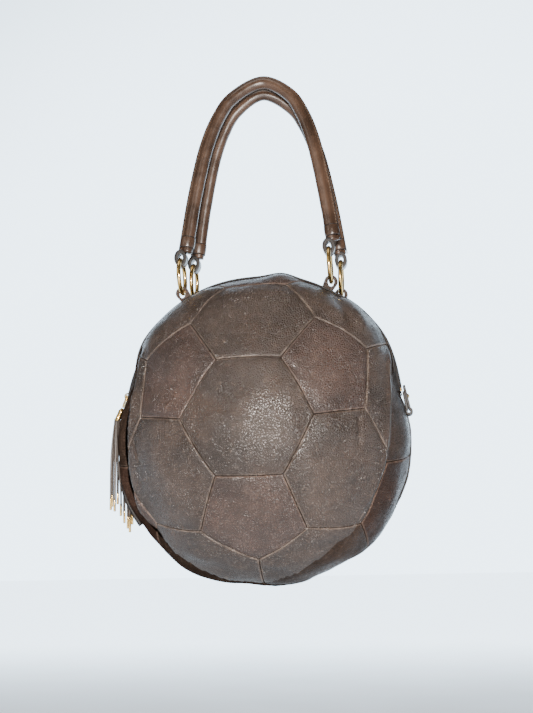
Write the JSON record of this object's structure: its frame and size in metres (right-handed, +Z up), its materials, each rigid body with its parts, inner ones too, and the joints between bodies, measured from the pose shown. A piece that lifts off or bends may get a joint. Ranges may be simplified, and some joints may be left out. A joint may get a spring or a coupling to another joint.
{
  "type": "ball handbag",
  "caption": "Ball-shaped handbag of hexagonal and pentagonal leather panels, with an arched top zip, a tassel zip pull and two rolled handles on rings.",
  "frame": {"origin": "the point of a hook that carries both handles, under the lower handle's top, midway between front and rear", "axes": "+X to the bag's right as seen from the front, -Y to its front, +Z up towards the hook"},
  "size_m": [0.3217, 0.2488, 0.5384],
  "materials": {
    "hexagon_leather": "pebbled, semi-matt, waxed",
    "pentagon_leather": "pebbled, semi-matt, waxed",
    "handle_leather": "smooth, semi-gloss, black painted edges",
    "tassel_leather": "smooth, satin",
    "zip_tape": "woven herringbone tape",
    "lining_cloth": "plain cotton weave",
    "brass": "polished, slightly worn"
  },
  "bodies": {
    "bag": {"front_center_hexagon": "hexagon_leather", "front_middle_hexagon_12": "hexagon_leather", "front_middle_hexagon_4": "hexagon_leather", "front_middle_hexagon_8": "hexagon_leather", "front_middle_pentagon_2": "pentagon_leather", "front_middle_pentagon_6": "pentagon_leather", "front_middle_pentagon_10": "pentagon_leather", "front_rim_pentagon_12": "pentagon_leather", "front_rim_pentagon_4": "pentagon_leather", "front_rim_pentagon_8": "pentagon_leather", "front_rim_hexagon_1": "hexagon_leather", "front_rim_hexagon_3": "hexagon_leather", "front_rim_hexagon_5": "hexagon_leather", "front_rim_hexagon_7": "hexagon_leather", "front_rim_hexagon_9": "hexagon_leather", "front_rim_hexagon_11": "hexagon_leather", "rear_center_hexagon": "hexagon_leather", "rear_middle_hexagon_2": "hexagon_leather", "rear_middle_hexagon_6": "hexagon_leather", "rear_middle_hexagon_10": "hexagon_leather", "rear_middle_pentagon_12": "pentagon_leather", "rear_middle_pentagon_4": "pentagon_leather", "rear_middle_pentagon_8": "pentagon_leather", "rear_rim_pentagon_2": "pentagon_leather", "rear_rim_pentagon_6": "pentagon_leather", "rear_rim_pentagon_10": "pentagon_leather", "rear_rim_hexagon_1": "hexagon_leather", "rear_rim_hexagon_3": "hexagon_leather", "rear_rim_hexagon_5": "hexagon_leather", "rear_rim_hexagon_7": "hexagon_leather", "rear_rim_hexagon_9": "hexagon_leather", "rear_rim_hexagon_11": "hexagon_leather", "front_lining": "lining_cloth", "rear_lining": "lining_cloth", "front_zip_tape": "zip_tape", "rear_zip_tape": "zip_tape", "front_zip_teeth": "brass", "rear_zip_teeth": "brass", "front_left_ring_tab": "pentagon_leather", "front_right_ring_tab": "pentagon_leather", "rear_left_ring_tab": "pentagon_leather", "rear_right_ring_tab": "pentagon_leather", "zip_end_tab": "tassel_leather", "zip_end_stud": "brass"},
    "slider": {"zip_slider": "brass"},
    "pull": {"zip_pull": "brass", "tassel_cap": "brass", "tassel_fringe": "tassel_leather"},
    "front_rings": {"front_left_ring": "brass", "front_right_ring": "brass"},
    "front_handle": {"front_handle": "handle_leather", "front_left_handle_keeper": "handle_leather", "front_right_handle_keeper": "handle_leather"},
    "rear_rings": {"rear_left_ring": "brass", "rear_right_ring": "brass"},
    "rear_handle": {"rear_handle": "handle_leather", "rear_left_handle_keeper": "handle_leather", "rear_right_handle_keeper": "handle_leather"}
  },
  "joints": [
    {"name": "zip_travel", "type": "hinge", "parent": "bag", "child": "slider", "pos_m": [0, 0, -0.347], "axis": [0, 1, 0], "range_deg": [0, 154], "deforming": ["tassel_fringe"]},
    {"name": "pull_swing", "type": "hinge", "parent": "slider", "child": "pull", "pos_m": [-0.14496, 0, -0.32144], "axis": [0, 1, 0], "range_deg": [0, 135]},
    {"name": "front_ring_swing", "type": "hinge", "parent": "bag", "child": "front_rings", "pos_m": [-0.0817, -0.0196, -0.21797], "axis": [0.9994, 0, 0.0335], "range_deg": [0, 35]},
    {"name": "front_handle_swing", "type": "hinge", "parent": "front_rings", "child": "front_handle", "pos_m": [-0.0823, -0.0196, -0.20023], "axis": [0.9994, 0, 0.0335], "range_deg": [0, 84]},
    {"name": "rear_ring_swing", "type": "hinge", "parent": "bag", "child": "rear_rings", "pos_m": [-0.0767, 0.0196, -0.21462], "axis": [-0.9998, 0, 0.0211], "range_deg": [0, 35]},
    {"name": "rear_handle_swing", "type": "hinge", "parent": "rear_rings", "child": "rear_handle", "pos_m": [-0.07632, 0.0196, -0.19688], "axis": [-0.9998, 0, 0.0211], "range_deg": [0, 84]}
  ]
}
